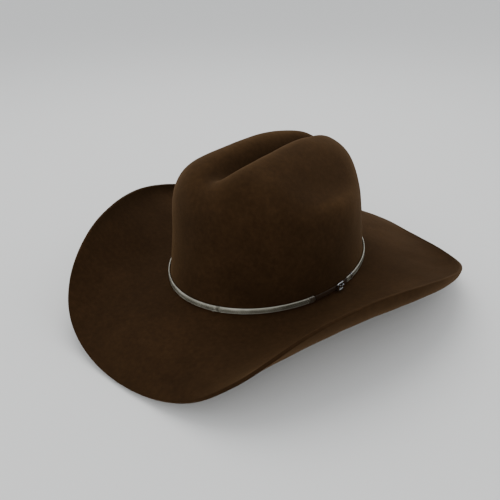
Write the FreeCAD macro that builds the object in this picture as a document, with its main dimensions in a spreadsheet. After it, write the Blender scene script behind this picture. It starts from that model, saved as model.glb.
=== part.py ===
import FreeCAD, Part
import Sketcher
import math
import os

V = FreeCAD.Vector

# A western felt hat. The wearer faces -Y, the wearer's left is +X, up is +Z.
# The origin is at the middle of the hat, on the surface that its brim stands on.
# Angles go round the crown: 0 is the front, 90 the wearer's left, 180 the back.

DIMENSIONS = [
    # head oval, measured outside the felt at the foot of the crown
    ("oval_half_length", 104),
    ("oval_half_width", 85),
    ("band_level", 24),
    ("felt_thickness", 2.8),
    ("break_rounding", 3.5),
    ("brim_width", 88),
    # crown block
    ("crown_height", 118),
    ("shoulder_plan", 7),
    ("shoulder_rise", 6),
    ("front_taper", 0.125),
    ("side_taper", 0.07),
    ("lean_bend", 0.8),
    ("front_fall", 9),
    ("back_fall", 19),
    ("cross_fall", 20),
    ("groove_depth", 24),
    ("groove_width", 10.5),
    ("groove_flare", 0.35),
    ("groove_reach", 72),
    ("dent_depth", 22),
    ("dent_out", 61),
    ("dent_back", 10),
    ("dent_width", 21),
    ("dent_length", 68),
    # brim edge: harmonics of its plan to the side and to the front, and of its rise
    ("edge_side_one", 158),
    ("edge_side_two", -8),
    ("edge_side_three", -1),
    ("edge_side_four", 10),
    ("edge_front_mean", 8.5),
    ("edge_front_one", 194),
    ("edge_front_two", -10),
    ("edge_front_three", -7),
    ("edge_front_four", 1.5),
    ("edge_rise_mean", 29.65),
    ("edge_rise_one", 10),
    ("edge_rise_two", -30),
    ("edge_rise_three", -10),
    ("edge_rise_four", 3),
    # brim section: lean of the felt at the crown and at the edge, and how far each holds
    ("foot_lean_mean", -3),
    ("foot_lean_two", -6),
    ("edge_lean_mean", 36),
    ("edge_lean_one", -2),
    ("edge_lean_two", -72),
    ("foot_hold", 0.40),
    ("edge_hold_mean", 0.25),
    ("edge_hold_one", 0.08),
    ("edge_hold_two", 0.02),
    # lining, a cloth bag that follows the felt
    ("lining_gap", 0.3),
    ("lining_cloth", 0.4),
    ("lining_foot", 7),
    ("lining_seam", 0.58),
    ("lining_seam_gap", 0.016),
    ("piping_radius", 0.8),
    # sweatband with its reed and tape
    ("sweatband_height", 50),
    ("sweatband_leather", 1.2),
    ("sweatband_foot_depth", 5.95),
    ("sweatband_top_depth", 4.4),
    ("sweatband_drop", 1.8),
    ("reed_depth", 4.15),
    ("reed_level", -0.3),
    ("reed_radius", 1.05),
    ("tape_inner_half", 1.15),
    ("tape_outer_half", 1.5),
    ("tape_short_flange", 0.8),
    ("tape_long_flange", 6),
    ("stitch_level", 3.5),
    ("stitch_radius", 0.4),
    ("stitch_gap", 0.25),
    # rear seam, bow and size tab, each set in from the sweatband's inner face
    ("seam_cover_width", 14),
    ("seam_cover_height", 36),
    ("seam_cover_leather", 0.8),
    ("seam_cover_level", 25),
    ("seam_cover_gap", 1.2),
    ("seam_thread_width", 5),
    ("seam_thread_height", 24),
    ("seam_thread_depth", 0.4),
    ("bow_level", 9),
    ("bow_length", 26),
    ("bow_height", 8),
    ("bow_waist", 3),
    ("bow_depth", 2.0),
    ("knot_width", 4),
    ("knot_play", 0.15),
    ("knot_ribbon", 0.5),
    ("tails_spread", 12),
    ("tails_drop", 15),
    ("tails_ribbon", 4),
    ("tails_depth", 0.6),
    ("size_tab_angle", 150),
    ("size_tab_level", 36),
    ("size_tab_width", 18),
    ("size_tab_height", 14),
    ("size_tab_card", 0.3),
    ("tip_shield_length", 88),
    ("tip_shield_width", 56),
    ("tip_shield_film", 0.4),
    ("tip_shield_level", 113.6),
    # hatband strip, its leather billet and its metal end, buckle and keeper
    ("strip_foot", 3),
    ("strip_height", 4.6),
    ("strip_gap", 0.9),
    ("strip_weave", 1.1),
    ("strip_start", 90.6),
    ("strip_end", 424.5),
    ("billet_start", 68),
    ("billet_end", 90.4),
    ("billet_height", 3.8),
    ("tip_angle", 66.2),
    ("tip_length", 5.5),
    ("tip_height", 5.4),
    ("tip_metal", 1.5),
    ("tip_rounding", 2),
    ("buckle_angle", 84),
    ("buckle_stand", 0.5),
    ("buckle_rise", 0.2),
    ("buckle_length", 8.4),
    ("buckle_height", 7.4),
    ("buckle_metal", 1.4),
    ("buckle_window_length", 5.2),
    ("buckle_window_height", 4.8),
    ("buckle_rounding", 1.2),
    ("pin_offset", 0.6),
    ("pin_radius", 0.45),
    ("pin_length", 6.4),
    ("prong_hole_radius", 0.5),
    ("prong_ring_radius", 0.95),
    ("prong_width", 1.6),
    ("prong_reach", 4.4),
    ("prong_metal", 0.7),
    ("prong_lift", 0.8),
    ("keeper_angle", 95),
    ("keeper_width", 3),
    ("keeper_play", 0.12),
    ("keeper_metal", 0.45),
]

doc = FreeCAD.newDocument("western_hat")
sheet = doc.addObject("Spreadsheet::Sheet", "Dimensions")
for line, (alias, number) in enumerate(DIMENSIONS, start=1):
    sheet.set("A%d" % line, alias)
    sheet.set("B%d" % line, str(number))
    sheet.setAlias("B%d" % line, alias)
doc.recompute()
NUMBERS = {alias: float(sheet.get(alias)) for alias, number in DIMENSIONS}


def size(alias):
    return NUMBERS[alias]


# ---------------------------------------------------------------- hat block

TURNS = 72
BRIM_ROWS = 16
CROWN_ROWS = 44
HARMONICS = ("one", "two", "three", "four")
HALF_LENGTH = size("oval_half_length")
HALF_WIDTH = size("oval_half_width")
BAND_LEVEL = size("band_level")
LEAN_SPAN = 4  # the wall's lean is measured over this height to each side


def around(count=TURNS):
    """Angles of one whole turn, from the front towards the wearer's left."""
    return [2 * math.pi * step / count for step in range(count)]


def oval_point(turn):
    return V(HALF_WIDTH * math.sin(turn), -HALF_LENGTH * math.cos(turn), BAND_LEVEL)


def oval_outward(turn):
    outward = V(math.sin(turn) / HALF_WIDTH, -math.cos(turn) / HALF_LENGTH, 0)
    return outward.normalize()


def edge_point(turn):
    """The top corner of the brim's cut edge."""
    side = 0
    front = size("edge_front_mean")
    rise = size("edge_rise_mean")
    for order, word in enumerate(HARMONICS, start=1):
        side += size("edge_side_" + word) * math.sin(order * turn)
        front += size("edge_front_" + word) * math.cos(order * turn)
        rise += size("edge_rise_" + word) * math.cos(order * turn)
    return V(side, -front, rise)


def brim_point(turn, share):
    """A point on the brim's top, from the crown (share 0) to the edge (share 1)."""
    foot = oval_point(turn)
    edge = edge_point(turn)
    reach = edge - foot
    ahead = V(reach.x, reach.y, 0).normalize()
    foot_lean = math.radians(size("foot_lean_mean") + size("foot_lean_two") * math.cos(2 * turn))
    edge_lean = math.radians(
        size("edge_lean_mean")
        + size("edge_lean_one") * math.cos(turn)
        + size("edge_lean_two") * math.cos(2 * turn)
    )
    edge_hold = (
        size("edge_hold_mean")
        + size("edge_hold_one") * math.cos(turn)
        + size("edge_hold_two") * math.cos(2 * turn)
    )
    leaving = oval_outward(turn) * math.cos(foot_lean) + V(0, 0, math.sin(foot_lean))
    arriving = ahead * math.cos(edge_lean) + V(0, 0, math.sin(edge_lean))
    first = foot + leaving * (size("foot_hold") * reach.Length)
    second = edge - arriving * (edge_hold * reach.Length)
    rest = 1 - share
    return (
        foot * rest**3
        + first * (3 * share * rest**2)
        + second * (3 * share**2 * rest)
        + edge * share**3
    )


def hollow(distance, width):
    return math.exp(-((distance / width) ** 2))


def crown_top(x, y):
    """Height of the creased crown top over the band level."""
    fall = size("back_fall") if y > 0 else size("front_fall")
    top = size("crown_height") - fall * (y / HALF_LENGTH) ** 2
    top -= size("cross_fall") * (x / HALF_WIDTH) ** 2
    groove_end = math.exp(-((y / size("groove_reach")) ** 4))
    groove_width = size("groove_width") * (1 - size("groove_flare") * y / HALF_LENGTH)
    top -= size("groove_depth") * hollow(x, groove_width) * groove_end
    dent = hollow(abs(x) - size("dent_out"), size("dent_width"))
    dent *= hollow(y - size("dent_back"), size("dent_length"))
    return top - size("dent_depth") * dent


def crown_point(turn, reach, rise):
    """A point on the crown, at a share of the oval's reach and of the local height."""
    lean = rise * (1 + size("lean_bend") * (1 - rise))
    front_taper = size("front_taper") * (1 + math.cos(turn)) / 2
    x = reach * HALF_WIDTH * math.sin(turn) * (1 - size("side_taper") * lean)
    y = -reach * HALF_LENGTH * math.cos(turn) * (1 - front_taper * lean)
    return V(x, y, BAND_LEVEL + rise * crown_top(x, y))


def crown_shares(count):
    """(reach, rise) pairs spaced evenly along the crown's section, foot to centre."""
    plan = size("shoulder_plan")
    lift = size("shoulder_rise")
    steps = 400
    corner = 0.9
    dense = []
    for step in range(steps):
        rise = corner * step / steps
        dense.append(((1 - rise**lift) ** (1 / plan), rise))
    corner_reach = (1 - corner**lift) ** (1 / plan)
    for step in range(steps + 1):
        reach = corner_reach * (1 - step / steps)
        dense.append((reach, (1 - reach**plan) ** (1 / lift)))
    lengths = [0]
    for before, after in zip(dense, dense[1:]):
        across = (after[0] - before[0]) * (HALF_LENGTH + HALF_WIDTH) / 2
        up = (after[1] - before[1]) * size("crown_height")
        lengths.append(lengths[-1] + math.hypot(across, up))
    picked = []
    index = 0
    for step in range(count + 1):
        wanted = lengths[-1] * step / count
        while lengths[index] < wanted - 1e-9:
            index += 1
        picked.append(dense[index])
    picked[-1] = (0.0, 1.0)
    return picked


CROWN_SHARES = crown_shares(CROWN_ROWS)


def wall_point(turn, height, outward):
    """A point beside the crown's lower wall, at a height over the band level."""
    rise = height / size("crown_height")
    for repeat in range(4):
        reach = (1 - max(rise, 0) ** size("shoulder_rise")) ** (1 / size("shoulder_plan"))
        point = crown_point(turn, reach, rise)
        rise = height / crown_top(point.x, point.y)
    point = crown_point(turn, reach, rise)
    return V(point.x, point.y, BAND_LEVEL + height) + oval_outward(turn) * outward


# ------------------------------------------------------------ surface tools


def knots(count, degree, periodic):
    """Knot values and multiplicities of an evenly spaced row of poles."""
    if periodic:
        return list(range(count + 1)), [1] * (count + 1)
    inner = count - degree - 1
    return list(range(inner + 2)), [degree + 1] + [1] * inner + [degree + 1]


def face(rows, round_turn=True, round_rows=False):
    """One smooth face over rows of points; each row goes round the crown."""
    poles = [[row[step] for row in rows] for step in range(len(rows[0]))]
    row_degree = min(3, len(rows) - 1)
    turn_degree = min(3, len(poles) - 1)
    turn_knots, turn_counts = knots(len(poles), turn_degree, round_turn)
    row_knots, row_counts = knots(len(rows), row_degree, round_rows)
    surface = Part.BSplineSurface()
    surface.buildFromPolesMultsKnots(
        poles, turn_counts, row_counts, turn_knots, row_knots,
        round_turn, round_rows, turn_degree, row_degree,
    )
    return surface.toShape()


def closed_solid(faces):
    joined = Part.makeCompound(faces)
    joined.sewShape(0.001)
    body = Part.Solid(joined.Shells[0])
    if body.Volume < 0:
        body.reverse()
    return body


def sunk(rows, depth):
    """The rows moved into the felt by a depth, square to the surface."""
    moved = []
    for level, row in enumerate(rows):
        above = rows[min(level + 1, len(rows) - 1)]
        below = rows[max(level - 1, 0)]
        count = len(row)
        new_row = []
        for step, point in enumerate(row):
            along = row[(step + 1) % count] - row[step - 1]
            up = above[step] - below[step]
            square = along.cross(up)
            if along.Length < 1e-6:
                square = V(0, 0, 1)
            new_row.append(point - square.normalize() * depth)
        moved.append(new_row)
    return moved


def crown_rows(shares):
    return [[crown_point(turn, reach, rise) for turn in around()] for reach, rise in shares]


def skin(rows, outer_depth, inner_depth):
    """A closed sheet between two depths under rows that end at the crown's centre."""
    outer = sunk(rows, outer_depth)
    inner = sunk(rows, inner_depth)
    faces = [face(outer), face(inner), face([outer[0], inner[0]])]
    if (rows[-1][0] - rows[-1][1]).Length > 1e-6:
        faces.append(face([outer[-1], inner[-1]]))
    return closed_solid(faces)


def ring(corners):
    """A strip round the crown whose section has the given (outward, height) corners."""
    rows = [[wall_point(turn, high, out) for turn in around()] for out, high in corners]
    return closed_solid([face([rows[side - 1], rows[side]]) for side in range(len(rows))])


def cord_ring(outward, height, radius):
    """A round cord that runs round the crown."""
    sides = 8
    # a cubic through evenly spaced poles lies this much inside their circle
    pole_radius = radius * 3 / (2 + math.cos(2 * math.pi / sides))
    rows = []
    for angle in around(sides):
        out = outward + pole_radius * math.cos(angle)
        high = height + pole_radius * math.sin(angle)
        rows.append([wall_point(turn, high, out) for turn in around()])
    return Part.Solid(Part.Shell([face(rows, True, True)]))


def wall_frame(turn, height):
    """Directions beside the crown's wall: along the band, up the wall and square to it."""
    out = oval_outward(turn)
    along = V(-out.y, out.x, 0)
    upward = wall_point(turn, height + LEAN_SPAN, 0) - wall_point(turn, height - LEAN_SPAN, 0)
    upward = (upward - along * upward.dot(along)).normalize()
    return along, upward, along.cross(upward)


def arc_strip(start, end, level, corners):
    """A strip along part of the crown, between two angles in degrees.

    Its section's corners are (off the wall, up the wall) from a level on the wall.
    """
    count = max(8, int((end - start) / 4))
    turns = [math.radians(start + (end - start) * step / count) for step in range(count + 1)]
    rows = []
    for off, up in corners:
        row = []
        for turn in turns:
            along, upward, square = wall_frame(turn, level)
            row.append(wall_point(turn, level, 0) + upward * up + square * off)
        rows.append(row)
    faces = [face([rows[side - 1], rows[side]], False) for side in range(len(rows))]
    for step in (0, count):
        a, b, c, d = [row[step] for row in rows]
        faces.append(face([[a, b], [d, c]], False))
    return closed_solid(faces)


def crown_place(angle, height, outward, forward=0):
    """Placement on the crown's wall: x along the band, y up the wall, z outwards."""
    turn = math.radians(angle)
    along, upward, square = wall_frame(turn, height)
    at = wall_point(turn, height, 0) + square * outward + along * forward
    return FreeCAD.Placement(FreeCAD.Matrix(
        along.x, upward.x, square.x, at.x,
        along.y, upward.y, square.y, at.y,
        along.z, upward.z, square.z, at.z,
        0, 0, 0, 1,
    ))


pieces = []


def free_piece(label, shape):
    """A sub-part whose surface follows the hat block."""
    piece = doc.addObject("Part::Feature", label)
    piece.Label = label
    piece.Shape = shape
    piece.Placement = FreeCAD.Placement()
    pieces.append(piece)
    return piece


# ----------------------------------------------------------- sketched bodies


def new_body(label):
    body = doc.addObject("PartDesign::Body", label)
    body.Label = label
    pieces.append(body)
    return body


def new_sketch(body, name, role="XY_Plane"):
    sketch = body.newObject("Sketcher::SketchObject", name)
    planes = [plane for plane in body.Origin.OriginFeatures if plane.Role == role]
    sketch.AttachmentSupport = [(planes[0], "")]
    sketch.MapMode = "FlatFace"
    return sketch


def link(sketch, constraint, name, expression):
    number = sketch.addConstraint(constraint)
    sketch.renameConstraint(number, name)
    sketch.setExpression("Constraints." + name, expression)


def rectangle(sketch, across, upward):
    """A rectangle centred on the sketch's origin, with sizes bound to the sheet."""
    corners = [V(-2, -1, 0), V(2, -1, 0), V(2, 1, 0), V(-2, 1, 0)]
    first = sketch.GeometryCount
    for step in range(4):
        sketch.addGeometry(Part.LineSegment(corners[step], corners[(step + 1) % 4]), False)
    for step in range(4):
        following = first + (step + 1) % 4
        sketch.addConstraint(Sketcher.Constraint("Coincident", first + step, 2, following, 1))
        direction = "Vertical" if step % 2 else "Horizontal"
        sketch.addConstraint(Sketcher.Constraint(direction, first + step))
    sketch.addConstraint(Sketcher.Constraint("Symmetric", first, 1, first + 2, 1, -1, 1))
    wide = Sketcher.Constraint("DistanceX", first, 1, first, 2, 4)
    high = Sketcher.Constraint("DistanceY", first + 1, 1, first + 1, 2, 2)
    link(sketch, wide, "across%d" % first, across)
    link(sketch, high, "upward%d" % first, upward)


def circle(sketch, radius):
    number = sketch.addGeometry(Part.Circle(V(0, 0, 0), V(0, 0, 1), 1), False)
    sketch.addConstraint(Sketcher.Constraint("Coincident", number, 3, -1, 1))
    link(sketch, Sketcher.Constraint("Radius", number, 1), "radius%d" % number, radius)


def pad(body, sketch, length, centred=False):
    feature = body.newObject("PartDesign::Pad", sketch.Name + "_pad")
    feature.Profile = sketch
    feature.setExpression("Length", length)
    feature.Midplane = centred
    body.Tip = feature
    return feature


def cut(body, sketch, length):
    """A pocket both ways from the sketch, checked to have taken material away."""
    doc.recompute()
    before = body.Shape.Volume
    feature = body.newObject("PartDesign::Pocket", sketch.Name + "_pocket")
    feature.Profile = sketch
    feature.Midplane = True
    feature.setExpression("Length", length)
    body.Tip = feature
    doc.recompute()
    if body.Shape.Volume > before - 1e-6:
        raise RuntimeError(body.Label + ": the pocket cut nothing")
    return feature


def outline(sketch, points):
    """A closed outline of straight sides through corners worked out from the sheet."""
    first = sketch.GeometryCount
    count = len(points)
    for step in range(count):
        start = V(points[step][0], points[step][1], 0)
        end = V(points[(step + 1) % count][0], points[(step + 1) % count][1], 0)
        sketch.addGeometry(Part.LineSegment(start, end), False)
    for step in range(count):
        following = first + (step + 1) % count
        sketch.addConstraint(Sketcher.Constraint("Coincident", first + step, 2, following, 1))
        sketch.addConstraint(Sketcher.Constraint("Block", first + step))


def upright_edges(shape, least_x=-1000):
    """Names of the straight edges along the local z, at or beyond a given x."""
    names = []
    for number, edge in enumerate(shape.Edges, start=1):
        ends = [vertex.Point for vertex in edge.Vertexes]
        if len(ends) < 2 or ends[0].x < least_x:
            continue
        if abs(abs((ends[1] - ends[0]).z) - edge.Length) < 1e-6:
            names.append("Edge%d" % number)
    return names


def round_corners(body, base, names, radius):
    feature = body.newObject("PartDesign::Fillet", body.Name + "_rounding")
    feature.Base = (base, names)
    feature.setExpression("Radius", radius)
    body.Tip = feature
    return feature


# --------------------------------------------------------------- felt body
# Crown and brim are one sheet of felt: the rows run from the brim's cut edge to
# the break, then up the crown and over its creases to the centre of the groove.

foot_share = size("break_rounding") / size("brim_width")
brim_shares = [1 - (1 - foot_share) * step / BRIM_ROWS for step in range(BRIM_ROWS + 1)]
felt_rows = [[brim_point(turn, share) for turn in around()] for share in brim_shares]
felt_rows.append([oval_point(turn) for turn in around()])
felt_rows += [[wall_point(turn, size("break_rounding"), 0) for turn in around()]]
felt_rows += crown_rows(CROWN_SHARES[2:])
free_piece("felt_body", skin(felt_rows, 0, size("felt_thickness")))

# ------------------------------------------------------------------- lining
# The side and the tip are two cloths sewn together along a piped seam.

cloth_outside = size("felt_thickness") + size("lining_gap")
cloth_inside = cloth_outside + size("lining_cloth")
seam = size("lining_seam")
seam_gap = size("lining_seam_gap")
row_space = 2 * seam_gap


def share_at(reach):
    return reach, (1 - reach ** size("shoulder_plan")) ** (1 / size("shoulder_rise"))


side_shares = [share for share in CROWN_SHARES[4:] if share[0] > seam + seam_gap + row_space]
side_shares.append(share_at(seam + seam_gap))
side_rows = [[wall_point(turn, size("lining_foot"), 0) for turn in around()]]
side_rows += crown_rows(side_shares)
free_piece("lining_side", skin(side_rows, cloth_outside, cloth_inside))

tip_shares = [share_at(seam - seam_gap)]
tip_shares += [share for share in CROWN_SHARES if share[0] < seam - seam_gap - row_space]
free_piece("lining_tip", skin(crown_rows(tip_shares), cloth_outside, cloth_inside))

seam_rows = crown_rows([share_at(seam + seam_gap), share_at(seam), share_at(seam - seam_gap)])
piping_path = sunk(seam_rows, cloth_inside - size("lining_cloth") / 2)[1]
piping_sides = 8
piping_poles = size("piping_radius") * 3 / (2 + math.cos(2 * math.pi / piping_sides))
piping_rows = []
for angle in around(piping_sides):
    row = []
    for turn, centre in zip(around(), piping_path):
        row.append(centre + oval_outward(turn) * (piping_poles * math.cos(angle))
                   + V(0, 0, piping_poles * math.sin(angle)))
    piping_rows.append(row)
free_piece("lining_piping", Part.Solid(Part.Shell([face(piping_rows, True, True)])))

# A clear film hangs under the lining's tip, below the bottom of the groove.
tip_shield = new_body("tip_shield")
shield_sketch = new_sketch(tip_shield, "shield_outline")
rectangle(shield_sketch, "Dimensions.tip_shield_width", "Dimensions.tip_shield_length")
shield_pad = pad(tip_shield, shield_sketch, "Dimensions.tip_shield_film")
doc.recompute()
round_corners(tip_shield, shield_pad, upright_edges(shield_pad.Shape), "Dimensions.tip_shield_width / 2.1")
tip_shield.Placement = FreeCAD.Placement(V(0, 0, size("tip_shield_level")), FreeCAD.Rotation())

# ---------------------------------------------------------------- sweatband
# A leather strip stands inside the crown. A plastic reed in a folded tape is sewn
# along its foot, and a line of thread holds both to the felt at the break.

leather = size("sweatband_leather")
foot_depth = size("sweatband_foot_depth")
top_depth = size("sweatband_top_depth")
sweatband_top = size("sweatband_height")
sweatband_foot = -size("sweatband_drop")


def sweatband_depth(height):
    """Depth of the leather's inner face, from the felt's outside."""
    share = (height - sweatband_foot) / (sweatband_top - sweatband_foot)
    return foot_depth + (top_depth - foot_depth) * share + leather


leather_levels = [sweatband_foot, sweatband_top / 4, sweatband_top / 2, sweatband_top]
leather_section = [(leather - sweatband_depth(level), level) for level in leather_levels]
leather_section += [(-sweatband_depth(level), level) for level in reversed(leather_levels)]
free_piece("sweatband", ring(leather_section))

reed_depth = size("reed_depth")
reed_level = size("reed_level")
free_piece("sweatband_reed", cord_ring(-reed_depth, reed_level, size("reed_radius")))

inner_half = size("tape_inner_half")
outer_half = size("tape_outer_half")
free_piece("reed_tape", ring([
    (-reed_depth + outer_half, reed_level + size("tape_short_flange")),
    (-reed_depth + outer_half, reed_level - outer_half),
    (-reed_depth - outer_half, reed_level - outer_half),
    (-reed_depth - outer_half, reed_level + size("tape_long_flange")),
    (-reed_depth - inner_half, reed_level + size("tape_long_flange")),
    (-reed_depth - inner_half, reed_level - inner_half),
    (-reed_depth + inner_half, reed_level - inner_half),
    (-reed_depth + inner_half, reed_level + size("tape_short_flange")),
]))

stitch_level = size("stitch_level")
stitch_depth = sweatband_depth(stitch_level) + size("stitch_gap") + size("stitch_radius")
free_piece("sweatband_stitches", cord_ring(-stitch_depth, stitch_level, size("stitch_radius")))

# ------------------------------------------------- rear seam, bow and tab
# The sweatband's ends meet at the back under a sewn leather cover, where a small
# ribbon bow marks the back of the hat. Each piece lies on the one before it.

seam_level = size("seam_cover_level")
cover_depth = sweatband_depth(seam_level) + size("seam_cover_gap") + size("seam_cover_leather")
rear_seam_cover = new_body("rear_seam_cover")
cover_sketch = new_sketch(rear_seam_cover, "cover_outline")
rectangle(cover_sketch, "Dimensions.seam_cover_width", "Dimensions.seam_cover_height")
pad(rear_seam_cover, cover_sketch, "Dimensions.seam_cover_leather")
rear_seam_cover.Placement = crown_place(180, seam_level, -cover_depth)

clear = 0.1
thread_depth = cover_depth + clear + size("seam_thread_depth")
rear_seam_stitches = new_body("rear_seam_stitches")
thread_sketch = new_sketch(rear_seam_stitches, "thread_zigzag")
zigzag = []
zigzag_turns = 8
half_thread = size("stitch_radius")
for side in (-1, 1):
    corners = []
    for step in range(2 * zigzag_turns + 1):
        across = (step % 2 - 0.5) * size("seam_thread_width") + side * half_thread
        along = size("seam_thread_height") * (step / (2 * zigzag_turns) - 0.5)
        corners.append((across, along))
    zigzag += corners if side < 0 else corners[::-1]
outline(thread_sketch, zigzag)
pad(rear_seam_stitches, thread_sketch, "Dimensions.seam_thread_depth")
thread_lift = 4
rear_seam_stitches.Placement = crown_place(180, seam_level + thread_lift, -thread_depth)

bow_level = size("bow_level")
tails_depth = cover_depth + 2 * clear + size("seam_thread_depth") + size("tails_depth")
bow_tails = new_body("bow_tails")
tails_sketch = new_sketch(bow_tails, "tails_outline")
half_knot = size("bow_waist") / 2
spread = size("tails_spread") / 2
drop = size("tails_drop")
tail_ribbon = size("tails_ribbon")
outline(tails_sketch, [
    (-half_knot, 0), (-spread, -drop), (-spread + tail_ribbon, -drop), (0, -tail_ribbon),
    (spread - tail_ribbon, -drop), (spread, -drop), (half_knot, 0),
])
pad(bow_tails, tails_sketch, "Dimensions.tails_depth")
bow_tails.Placement = crown_place(180, bow_level, -tails_depth)

knot_wall = size("knot_ribbon")
knot_play = size("knot_play")
bow_inner_depth = tails_depth + clear + knot_wall + knot_play + size("bow_depth")
bow_loops = new_body("bow_loops")
bow_sketch = new_sketch(bow_loops, "bow_outline")
half_bow = size("bow_length") / 2
half_high = size("bow_height") / 2
half_width = size("knot_width") / 2 + knot_play
outline(bow_sketch, [
    (-half_bow, half_high), (-half_width, half_knot), (half_width, half_knot),
    (half_bow, half_high), (half_bow, -half_high), (half_width, -half_knot),
    (-half_width, -half_knot), (-half_bow, -half_high),
])
pad(bow_loops, bow_sketch, "Dimensions.bow_depth")
bow_loops.Placement = crown_place(180, bow_level, -bow_inner_depth)

bow_knot = new_body("bow_knot")
knot_sketch = new_sketch(bow_knot, "knot_section", "YZ_Plane")
knot_outer = "2 * Dimensions.knot_play + 2 * Dimensions.knot_ribbon"
rectangle(knot_sketch, "Dimensions.bow_waist + " + knot_outer, "Dimensions.bow_depth + " + knot_outer)
rectangle(knot_sketch, "Dimensions.bow_waist + 2 * Dimensions.knot_play",
          "Dimensions.bow_depth + 2 * Dimensions.knot_play")
pad(bow_knot, knot_sketch, "Dimensions.knot_width", True)
bow_knot.Placement = crown_place(180, bow_level, -bow_inner_depth + size("bow_depth") / 2)

size_tab = new_body("size_tab")
tab_sketch = new_sketch(size_tab, "tab_outline")
rectangle(tab_sketch, "Dimensions.size_tab_width", "Dimensions.size_tab_height")
pad(size_tab, tab_sketch, "Dimensions.size_tab_card")
tab_depth = sweatband_depth(size("size_tab_level")) + size("seam_cover_gap") + size("size_tab_card")
size_tab.Placement = crown_place(size("size_tab_angle"), size("size_tab_level"), -tab_depth)

# ------------------------------------------------------------------ hatband
# A narrow woven strip goes round the foot of the crown. Its front end is held in
# a metal tip. A leather billet runs from there under the buckle to the other end.

strip_foot = size("strip_foot")
strip_gap = size("strip_gap")
strip_out = strip_gap + size("strip_weave")
strip_level = strip_foot + size("strip_height") / 2


def band_piece(name):
    """The strip or its billet, centred on one level, from its sizes in the sheet."""
    half = size(name + "_height") / 2
    section = [(strip_gap, -half), (strip_out, -half), (strip_out, half), (strip_gap, half)]
    shape = arc_strip(size(name + "_start"), size(name + "_end"), strip_level, section)
    free_piece("hatband_" + name, shape)


band_piece("strip")
band_piece("billet")

hatband_tip = new_body("hatband_tip")
nose_sketch = new_sketch(hatband_tip, "tip_outline")
rectangle(nose_sketch, "Dimensions.tip_length", "Dimensions.tip_height")
nose_pad = pad(hatband_tip, nose_sketch, "Dimensions.tip_metal")
doc.recompute()
round_corners(hatband_tip, nose_pad, upright_edges(nose_pad.Shape, 0), "Dimensions.tip_rounding")
tip_out = (strip_gap + strip_out - size("tip_metal")) / 2
hatband_tip.Placement = crown_place(size("tip_angle"), strip_level, tip_out)

# The buckle's frame stands off the billet, with a pin across its window.
buckle_level = strip_level + size("buckle_rise")
buckle_out = strip_out + size("buckle_stand")
pin_out = buckle_out + size("buckle_metal") / 2
buckle_frame = new_body("buckle_frame")
frame_sketch = new_sketch(buckle_frame, "frame_outline")
rectangle(frame_sketch, "Dimensions.buckle_length", "Dimensions.buckle_height")
frame_pad = pad(buckle_frame, frame_sketch, "Dimensions.buckle_metal")
doc.recompute()
round_corners(buckle_frame, frame_pad, upright_edges(frame_pad.Shape), "Dimensions.buckle_rounding")
window_sketch = new_sketch(buckle_frame, "frame_window")
rectangle(window_sketch, "Dimensions.buckle_window_length", "Dimensions.buckle_window_height")
cut(buckle_frame, window_sketch, "4 * Dimensions.buckle_metal")
buckle_frame.Placement = crown_place(size("buckle_angle"), buckle_level, buckle_out)

pin_place = crown_place(size("buckle_angle"), buckle_level, pin_out, -size("pin_offset"))
buckle_pin = new_body("buckle_pin")
pin_sketch = new_sketch(buckle_pin, "pin_circle", "XZ_Plane")
circle(pin_sketch, "Dimensions.pin_radius")
pad(buckle_pin, pin_sketch, "Dimensions.pin_length", True)
buckle_pin.Placement = pin_place

buckle_prong = new_body("buckle_prong")
eye_sketch = new_sketch(buckle_prong, "prong_eye", "XZ_Plane")
circle(eye_sketch, "Dimensions.prong_ring_radius")
pad(buckle_prong, eye_sketch, "Dimensions.prong_width", True)
finger_sketch = new_sketch(buckle_prong, "prong_finger", "XZ_Plane")
finger_low = size("prong_lift")
finger_high = finger_low + size("prong_metal")
outline(finger_sketch, [
    (0, finger_low), (size("prong_reach"), finger_low),
    (size("prong_reach"), finger_low + size("prong_metal") / 2),
    (size("prong_reach") - size("prong_metal"), finger_high), (0, finger_high),
])
pad(buckle_prong, finger_sketch, "Dimensions.prong_width", True)
hole_sketch = new_sketch(buckle_prong, "prong_hole", "XZ_Plane")
circle(hole_sketch, "Dimensions.prong_hole_radius")
cut(buckle_prong, hole_sketch, "2 * Dimensions.prong_width")
buckle_prong.Placement = pin_place

keeper_loop = new_body("keeper_loop")
keeper_sketch = new_sketch(keeper_loop, "keeper_section", "YZ_Plane")
keeper_inner = "2 * Dimensions.keeper_play"
keeper_outer = keeper_inner + " + 2 * Dimensions.keeper_metal"
rectangle(keeper_sketch, "Dimensions.strip_height + " + keeper_outer,
          "Dimensions.strip_weave + " + keeper_outer)
rectangle(keeper_sketch, "Dimensions.strip_height + " + keeper_inner,
          "Dimensions.strip_weave + " + keeper_inner)
pad(keeper_loop, keeper_sketch, "Dimensions.keeper_width", True)
keeper_place = crown_place(size("keeper_angle"), strip_level, (strip_gap + strip_out) / 2)
keeper_loop.Placement = keeper_place

# ------------------------------------------------------------ check and save

doc.recompute()
for thing in doc.Objects:
    if "Invalid" in thing.State or "Error" in thing.State:
        raise RuntimeError(thing.Label + " failed to compute")
for piece in pieces:
    if piece.Shape.isNull() or not piece.Shape.isValid():
        raise RuntimeError(piece.Label + " has no valid shape")

os.makedirs("parts", exist_ok=True)
for piece in pieces:
    piece.Shape.exportStep("parts/" + piece.Label + ".step")

# Joint places for the record, in metres.
pin_axis = pin_place.Rotation.multVec(V(0, 1, 0))
keeper_axis = keeper_place.Rotation.multVec(V(1, 0, 0))
print("prong pin at", [round(number / 1000, 6) for number in pin_place.Base])
print("prong axis", [round(number, 6) for number in pin_axis])
print("keeper axis", [round(number, 6) for number in keeper_axis])
print(len(pieces), "pieces")
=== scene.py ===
import bpy
import bmesh
import math
import random
from mathutils import Matrix, Vector, noise


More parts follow.
